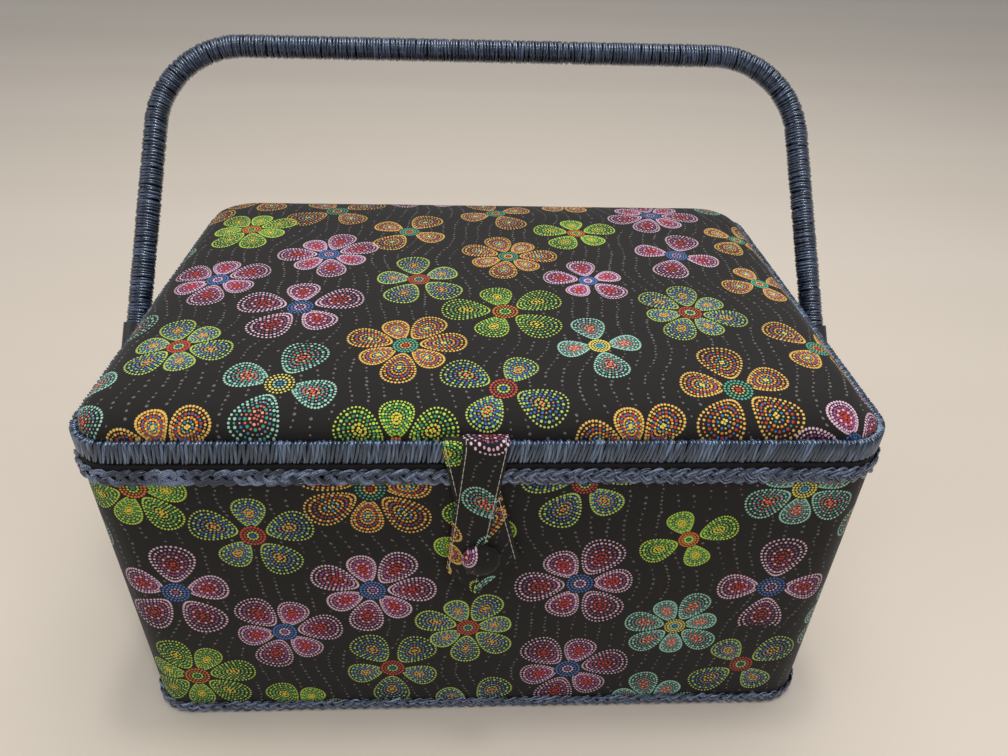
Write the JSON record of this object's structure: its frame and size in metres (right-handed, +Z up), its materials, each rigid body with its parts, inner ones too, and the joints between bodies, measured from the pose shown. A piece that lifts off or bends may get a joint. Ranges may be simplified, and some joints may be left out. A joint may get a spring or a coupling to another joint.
{
  "type": "sewing box",
  "caption": "Fabric-covered sewing box with a padded hinged lid, folding wrapped carrying handle, button strap closure and lift-out compartment tray.",
  "frame": {"origin": "middle of the underside of the base, on the surface the box stands on", "axes": "+X to the right along the box's width, +Y to the back where the hinges are, +Z up"},
  "size_m": [0.3766, 0.242, 0.2691],
  "materials": {
    "fibreboard": "plain pressed fibreboard, hidden under the cloth",
    "hoop_wood": "split cane hoop, hidden under its wrapping",
    "batten": "wooden strip covered in the lining cloth",
    "printed_cotton": "charcoal cotton printed with coloured dot-work flowers",
    "button_cloth": "the printed cotton drawn over a button",
    "paper_yarn": "glossy navy and slate-blue paper yarn",
    "lining": "navy satin",
    "lining_pad": "navy satin over thin wadding",
    "pincushion_cloth": "slate-blue satin over stuffing",
    "elastic": "flat woven elastic",
    "foam": "foam wadding, hidden under the cloth",
    "core_plastic": "plain bent plastic rod, hidden under its wrapping",
    "socket_plastic": "charcoal moulded plastic",
    "tray_plastic": "pale grey injection-moulded plastic",
    "hinge_steel": "plated steel",
    "screw_steel": "plated steel",
    "rivet_steel": "blackened steel"
  },
  "bodies": {
    "box": {"body_walls": "fibreboard", "base_board": "fibreboard", "body_cover": "printed_cotton", "base_cover": "printed_cotton", "wall_lining": "lining", "floor_pad": "lining_pad", "top_braid": "paper_yarn", "base_braid": "paper_yarn", "tray_ledge_left": "batten", "tray_ledge_right": "batten", "hinge_body_leaf_left": "hinge_steel", "hinge_body_leaf_right": "hinge_steel", "hinge_pins": "hinge_steel", "hinge_screws_body": "screw_steel", "handle_bracket_left": "socket_plastic", "handle_bracket_right": "socket_plastic", "handle_pivot_left": "rivet_steel", "handle_pivot_right": "rivet_steel", "bracket_screws": "screw_steel", "button_shank": "socket_plastic", "closure_button": "button_cloth"},
    "lid": {"lid_board": "fibreboard", "lid_hoop": "hoop_wood", "lid_rim_wrap": "paper_yarn", "lid_pad": "foam", "lid_cover": "printed_cotton", "lid_lining": "lining_pad", "pincushion": "pincushion_cloth", "lid_pocket": "lining", "pocket_elastic": "elastic", "hinge_lid_leaf_left": "hinge_steel", "hinge_lid_leaf_right": "hinge_steel", "hinge_screws_lid": "screw_steel", "strap_tails": "printed_cotton"},
    "strap": {"closure_strap": "printed_cotton"},
    "handle": {"handle_core": "core_plastic", "handle_wrap": "paper_yarn", "handle_socket_left": "socket_plastic", "handle_socket_right": "socket_plastic"},
    "tray": {"compartment_tray": "tray_plastic"}
  },
  "joints": [
    {"name": "lid_open", "type": "hinge", "parent": "box", "child": "lid", "pos_m": [0, 0.1165, 0.1566], "axis": [-1, 0, 0], "range_deg": [0, 63.5]},
    {"name": "strap_swing", "type": "hinge", "parent": "lid", "child": "strap", "pos_m": [0, -0.1165, 0.1568], "axis": [-1, 0, 0], "range_deg": [0, 120], "deforming": ["closure_strap"]},
    {"name": "handle_swing", "type": "hinge", "parent": "box", "child": "handle", "pos_m": [0, 0, 0.125], "axis": [1, 0, 0], "range_deg": [-94, 166]},
    {"name": "tray_lift", "type": "slide", "parent": "box", "child": "tray", "axis": [0, 0, 1], "range_m": [0, 0.008]}
  ]
}
